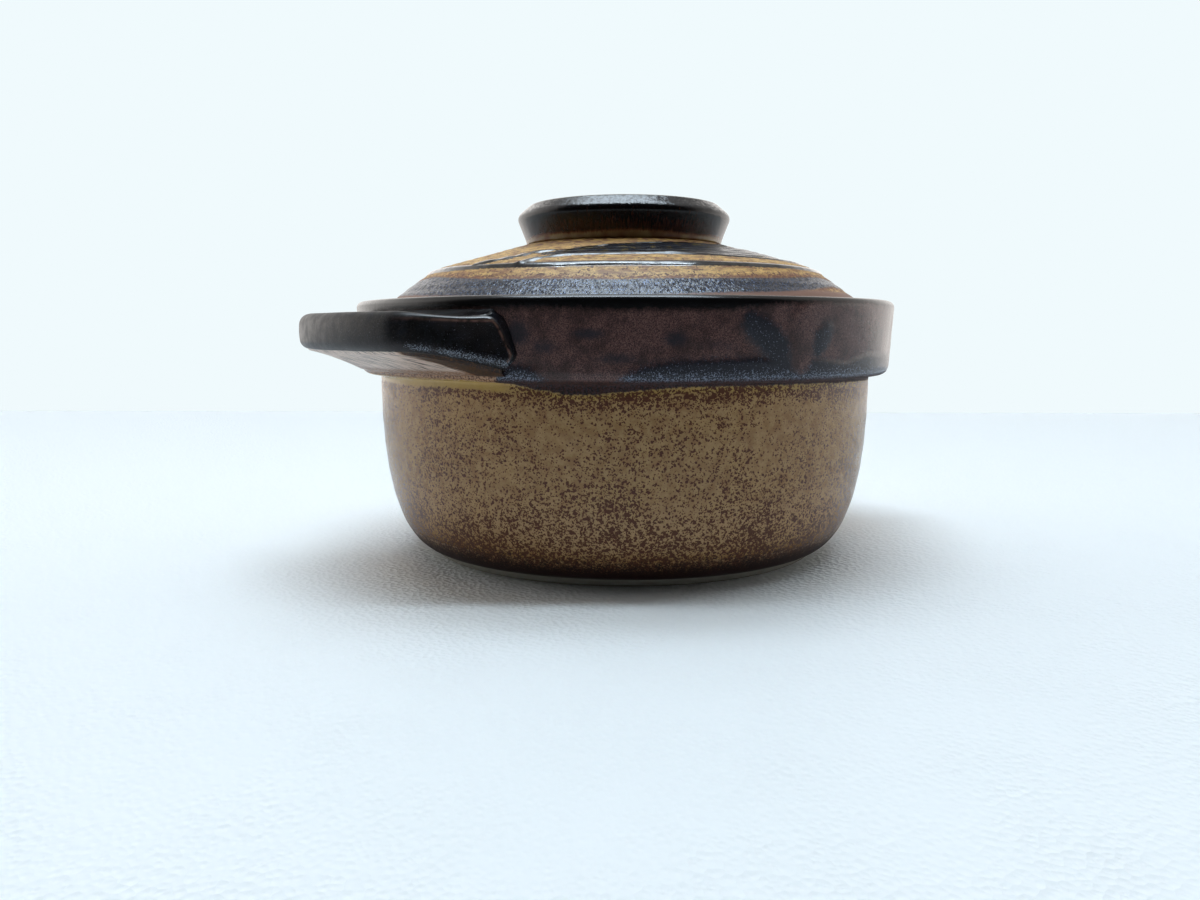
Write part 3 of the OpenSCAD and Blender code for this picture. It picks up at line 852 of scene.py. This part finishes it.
lid = {
    "seatIn": 64.1, "seatR": 69.3, "ledgeZ": 65.0, "edgeH": 6.4, "edge": 0.7, "rimRound": 2.4,
    "shoulderR": 56.5, "shoulderZ": 81.0, "crownR": 29.2, "crownZ": 88.8, "thick": 5.6, "neckR": 28.5,
    "columns": 420, "topGap": 0.31, "edgeGap": 0.6, "insideGap": 2.6,
    "trailLift": 0.42, "trailHalf": 0.95, "ringLift": 0.25, "ringHalf": 1.1, "patchLift": 0.30,
    "patchUneven": 0.14, "greyLift": 0.08, "uneven": 0.09, "grooveLift": 0.06, "grooveTurns": 2.1,
    "lines": [  # trailed lines: radius, facing, half width
        [(56.8, -26.8, 1.2), (55.6, -24.5, 1.3), (53.2, -21.0, 1.1), (51.2, -15, 1.0), (50.5, -7, 0.95),
         (50.0, 5, 0.95), (49.6, 16, 0.9), (50.2, 30, 0.95), (50.6, 44, 0.9), (51.5, 62, 0.8),
         (53.2, 80, 0.9), (55.6, 96, 1.1), (57.0, 106, 0.9)],
        [(44.6, -23.5, 1.0), (46.2, -29, 1.5), (50.0, -32.5, 1.6), (53.6, -36.5, 1.5), (56.4, -42, 1.2)],
        [(46.4, -21.5, 0.7), (42.4, -14, 0.6), (39.0, -4, 0.5), (37.2, 8, 0.6), (35.9, 24, 0.6),
         (35.2, 40, 0.7), (37.6, 48, 0.6)],
        [(56.6, 150, 1.1), (53.4, 158, 1.0), (51.2, 170, 0.9), (50.6, 188, 0.9), (50.2, 206, 0.9),
         (51.6, 224, 0.9), (54.2, 240, 1.0), (56.8, 254, 1.0)],
        [(45.0, 152, 0.9), (42.4, 168, 0.6), (39.0, 184, 0.6), (37.2, 204, 0.7), (39.6, 218, 0.6)]],
    "patches": [  # dark glaze: facing, inner radius, outer radius
        [(-26, 48.0, 49.2), (-20, 46.2, 51.6), (-14, 42.6, 50.9), (-4, 39.0, 50.3), (8, 37.2, 49.8),
         (24, 35.8, 49.6), (38, 35.2, 50.2), (48, 36.2, 49.4), (58, 37.6, 48.4), (70, 40.4, 47.4),
         (84, 45.2, 46.2)],
        [(150, 48.0, 49.5), (164, 43.4, 51.0), (184, 39.2, 50.6), (204, 37.4, 50.2), (218, 39.8, 50.6),
         (232, 47.0, 51.8), (242, 52.6, 52.8)]],
    "ring": [(-180, 57.3), (-120, 56.9), (-60, 57.4), (-20, 57.8), (0, 57.6), (30, 57.2), (60, 57.2),
             (120, 57.6)],
    "greyIn": [(-180, 62.6), (-120, 61.6), (-57, 60.6), (-35, 62.3), (0, 63.3), (35, 62.3), (57, 60.6),
               (120, 62.0)],
    "greyOut": [(-180, 67.6), (-120, 66.9), (-55, 66.9), (-31, 68.3), (0, 68.9), (35, 66.6), (60, 64.0),
                (120, 66.4)]}


def lidOutline():
    p = lid
    thick, ledge = p["thick"], p["ledgeZ"]
    outside = [(pole, p["crownZ"]), (p["crownR"], p["crownZ"], 4), (p["shoulderR"], p["shoulderZ"], 12),
               (p["seatR"], ledge + p["edgeH"], p["rimRound"]), (p["seatR"], ledge, p["edge"]),
               (p["seatIn"], ledge, p["edge"])]
    inside = [(p["shoulderR"] - thick / 2, p["shoulderZ"] - thick, 8),
              (p["neckR"] - thick / 2, p["crownZ"] - thick, 8), (pole, p["crownZ"] - thick)]

    def spacing(r, z):  # close together on top, where the trails are
        onTop = (z > 72 + (70 - r) * 0.42) & (r > 28) & (r < 68)
        return np.where(onTop, p["topGap"], np.where((r > 60) & (z > 64), p["edgeGap"], p["insideGap"]))

    return spread(roundedOutline(outside + inside)[::-1], spacing)


def makeLid():
    p = lid
    profile = lidOutline()
    theta, facing, r, z = turnedRings(profile, p["columns"])
    way = np.stack([np.cos(np.radians(facing)), np.sin(np.radians(facing)), 0 * facing], -1)
    upper = (acrossOf(profile)[:, 1:] > 0.05) + 0 * facing

    def onTop(path):  # the path's radius and facing become flat places seen from above
        q = eased(path, 6)
        a = np.radians(q[:, 1])
        flat = np.column_stack([q[:, 0] * np.cos(a), q[:, 0] * np.sin(a), q[:, 2]])
        return strokeField(r * way[..., 0], r * way[..., 1], flat)

    def patchField(rows):  # distance inside the patch's inner, outer and end edges
        q = np.array(rows, float)
        f = wrapped(facing - q[:, 0].mean()) + q[:, 0].mean()
        inner, outer = np.interp(f, q[:, 0], q[:, 1]), np.interp(f, q[:, 0], q[:, 2])
        past = np.maximum(q[0, 0] - f, f - q[-1, 0])
        return np.minimum(np.minimum(r - inner, outer - r), -np.radians(past) * r)

    def above(values):  # far outside on the underside
        return np.where(upper > 0, values, -6)

    def rounded(inside, half):  # a parabola across
        return 1 - (1 - np.clip(inside / half, 0, 1)) ** 2

    trails = above(np.max([onTop(path) for path in p["lines"]], axis=0))
    ringHalf = p["ringHalf"] + 0.2 * wobble(facing * 2, r, 31)
    ringLine = above(ringHalf - np.abs(r - around(facing, p["ring"])))
    patch = above(np.max([patchField(rows) for rows in p["patches"]], axis=0))
    grey = np.minimum(r - around(facing, p["greyIn"]), around(facing, p["greyOut"]) - r)
    grey = grey + 0.25 * wobble(facing, z, 33)
    # Trails stand highest, the ring and the patches lie flatter, and the hand leaves fine grooves
    patchLift = p["patchLift"] + p["patchUneven"] * wobble(facing * 5, r * 6, 37)
    relief = p["trailLift"] * rounded(trails, p["trailHalf"])
    relief += p["ringLift"] * rounded(ringLine, p["ringHalf"])
    relief += softStep(-0.4, 1.2, patch) * patchLift + p["greyLift"] * softStep(-0.5, 0.8, grey)
    grooves = p["grooveLift"] * np.sin(r * p["grooveTurns"])
    relief += softStep(28, 32, r) * (p["uneven"] * wobble(facing * 2, r * 4, 35) + grooves)
    relief = upper * relief * softStep(28.6, 30.5, r) * softStep(69.2, 68.4, r)
    grid = raisedGrid(profile, theta, relief)
    piece = gridMesh("lidGlazed", grid, ends=[(0, 0, p["crownZ"] - p["thick"]), (0, 0, p["crownZ"])])
    seat = (1 - upper) * softStep(63.2, 63.8, r) * softStep(71.0, 70.2, z)
    length = lengthAlong(profile)[:, None] + 0 * facing
    slope = np.stack([0 * length, 0 * length, length], -1)
    addFields(piece, {
        "lines": np.clip(np.maximum(trails, ringLine), -6, 6), "patch": np.clip(patch, -8, 8),
        "grey": np.clip(grey, -8, 8), "out": r, "bare": seat, "below": (1 - upper) * (1 - seat),
        "turned": way * 22 + slope, "drawn": way * 65 + slope * 0.4})
    finishPiece(piece, "lid", "lid", lidGlaze())


lidInks = inks(
    ochre=(232, 188, 110), ochreDeep=(152, 102, 52), brown=(92, 50, 32),
    redBrown=(142, 88, 60), lowBrown=(138, 98, 80), rust=(116, 68, 42),
    straw=(188, 148, 80), grey=(16, 24, 40), fleck=(110, 136, 182),
    black=(17, 18, 21), patch=(38, 39, 44), olive=(104, 88, 48),
    below=(112, 82, 56), belowDeep=(78, 54, 40), clay=(176, 167, 150))
lidRough = {"ochre": 0.5, "spot": 0.58, "grey": 0.25, "patch": 0.2, "line": 0.09, "clay": 0.88}


def lidGlaze():
    c, rough = lidInks, lidRough
    glaze, shader, place = newGlaze("trailedOchreGlaze")
    turned, drawn = field("turned", "Vector"), field("drawn", "Vector")
    out, greyIn, lineIn, bare = field("out"), field("grey"), field("lines"), field("bare")
    fine, medium, swept = noise(place, 0.5, 3, 0.62), noise(place, 3.0, 3), noise(turned, 1.4, 4, 0.6)
    shaky = shaken(place, 0.8, 0.8)
    ragged = centred(noise(place, 1.0, 4, 0.65), 2.4)

    # Ochre with brown spots, redder beside the dark glaze, rusty at the knob, brown at the edge
    amount = plus(step(greyIn, -2.4, -0.2, 0, 0.40), step(medium, 0.35, 0.7, 0.12, 0.34))
    spots = most(speckles(shaky, 0.42, amount), speckles(shaky, 0.66, times(amount, 0.8)))
    edged = most(step(lineIn, -0.9, -0.1, 0, 0.5), step(greyIn, -1.7, -0.3))
    ochre = layered(
        c["ochre"], (step(swept, 0.38, 0.66), c["ochreDeep"]),
        (step(fine, 0.44, 0.66, 0, 0.55), c["ochreDeep"]), (times(spots, 0.9), c["brown"]),
        (times(edged, step(fine, 0.36, 0.60, 0, 0.9)), c["redBrown"]))
    nearKnob = step(plus(out, times(ragged, 0.9)), 39.5, 34.5)
    rust = blend(step(swept, 0.42, 0.60), c["rust"], c["straw"])
    atEdge = step(plus(out, times(ragged, 0.4)), 65.0, 66.4)

    # Grey ring with flecks, dark patches with olive islands, black lines
    grey = step(plus(greyIn, times(ragged, 0.45)), -0.35, 0.45)
    flecks = step(noise(drawn, 0.22, 2, 0.55), 0.54, 0.66, 0, 0.6)
    flecked = blend(flecks, c["grey"], c["fleck"])
    patch = step(plus(field("patch"), ragged), -0.3, 0.5)
    islands = step(plus(medium, times(fine, 0.3)), 0.72, 0.80, 0, 0.9)
    dark = layered(c["patch"], (step(fine, 0.45, 0.65), c["grey"]), (islands, c["olive"]))
    lines = step(plus(lineIn, times(ragged, 0.22)), -0.15, 0.2)
    below = blend(step(medium, 0.4, 0.65), c["below"], c["belowDeep"])
    colour = layered(ochre, (nearKnob, rust), (atEdge, c["lowBrown"]), (grey, flecked), (patch, dark),
                     (lines, c["black"]), (field("below"), below), (bare, c["clay"]))

    gloss = layered(between(spots, rough["ochre"], rough["spot"]), (grey, rough["grey"]),
                    (patch, rough["patch"]), (lines, rough["line"]), (bare, rough["clay"]), mix=between)
    pitted = bump(times(fine, between(lines, 1.0, 0.2)), 0.04)
    swells = bump(times(swept, between(grey, 1.0, 0.1)), 0.08, pitted)
    lean = times(less(grey, times(grey, lines)), 0.42)
    setShader(shader, {
        "Base Color": colour, "Metallic": times(flecks, grey, 0.6), "Roughness": gloss, "IOR": 1.6,
        "Coat Weight": times(lines, step(medium, 0.35, 0.6, 0.2, 0.8)),
        "Coat Roughness": 0.06, "Coat IOR": 1.8, "Normal": flaked(drawn, 0.27, lean, swells)})
    return glaze


makeLid()


# Knob: a hollow ring that flares to a bevelled grip

knob = {
    "hollowR": 21.5, "neckR": 28.5, "wideR": 31.8, "bevelZ": 97.0, "topOutR": 27.8, "topInR": 24.4,
    "topZ": 100.4, "baseZ": 88.8, "edge": 0.7, "columns": 300, "gap": 0.32, "uneven": 0.08, "filled": 0.5}


def makeKnob():
    p = knob
    edge = p["edge"]
    points = roundedOutline([(p["hollowR"], p["baseZ"]), (p["neckR"], p["baseZ"], 0.2),
                             (p["wideR"], p["bevelZ"], 3 * edge), (p["topOutR"], p["topZ"], 2 * edge),
                             (p["topInR"], p["topZ"], 2 * edge)])
    profile = spread(np.vstack([points, points[:1]]), lambda r, z: p["gap"] + 0 * r)[:-1]
    theta, facing, r, z = turnedRings(profile, p["columns"])
    # The ring is a little uneven, and glaze fills the corner at its foot
    relief = p["uneven"] * wobble(facing, z, 41) * softStep(90, 92, z) * softStep(100.2, 99, z)
    relief += p["filled"] * np.exp(-np.maximum(z - p["baseZ"], 0) / 0.8) * (r > 26)
    relief = relief * (z > p["baseZ"] + 0.1)
    piece = gridMesh("knobGlazed", raisedGrid(profile, theta, relief, closed=True), ring=True)
    turned = np.stack([np.cos(np.radians(facing)) * 30, np.sin(np.radians(facing)) * 30, z * 0.22], -1)
    addFields(piece, {
        "bevel": softStep(96.6, 97.6, z) * softStep(24.0, 27.0, r),
        "foot": softStep(91.5, 89.7, z + 0.5 * wobble(facing, z, 43)) * (r > 26), "turned": turned})
    finishPiece(piece, "lid_knob", "lid", knobGlaze())


knobInks = inks(
    black=(6, 5, 5), brown=(46, 20, 13), blueBlack=(17, 19, 25),
    crystal=(150, 160, 174), olive=(150, 126, 82), rust=(112, 68, 42))


def knobGlaze():
    c = knobInks
    glaze, shader, place = newGlaze("brownBlackGlaze")
    bevel = field("bevel")
    fine, medium = noise(place, 0.45, 3, 0.6), noise(place, 2.6, 3)
    streaks = noise(field("turned", "Vector"), 0.45, 3, 0.6, 0.4)

    # Brown side that is darker above, rust and olive at the foot, a crystalled bevel
    redder = step(put("SeparateXYZ", {0: place}, out="Z"), 96.5, 91.0, -0.20, 0.08)
    foot = plus(field("foot"), centred(streaks, 0.8))
    olive = times(step(foot, 0.45, 0.95), step(noise(place, 8, 2), 0.36, 0.6, 0.2, 1.0))
    side = layered(
        c["black"], (step(plus(streaks, redder), 0.36, 0.60), c["brown"]),
        (step(streaks, 0.54, 0.76, 0, 0.14), c["rust"]), (step(foot, 0.1, 0.7), c["rust"]),
        (olive, c["olive"]))
    top = blend(step(fine, 0.64, 0.78, 0, 0.22), c["blueBlack"], c["crystal"])
    pitted = bump(medium, 0.08, bump(fine, 0.03))
    crystalled = flaked(place, 0.40, times(bevel, 0.19), pitted)
    setShader(shader, {
        "Base Color": blend(bevel, side, top), "Roughness": between(bevel, 0.24, 0.13),
        "IOR": 1.5, "Specular IOR Level": 0.26, "Coat Weight": times(bevel, 0.62),
        "Coat Roughness": 0.16, "Coat IOR": 1.7, "Normal": crystalled, "Coat Normal": crystalled})
    return glaze


makeKnob()
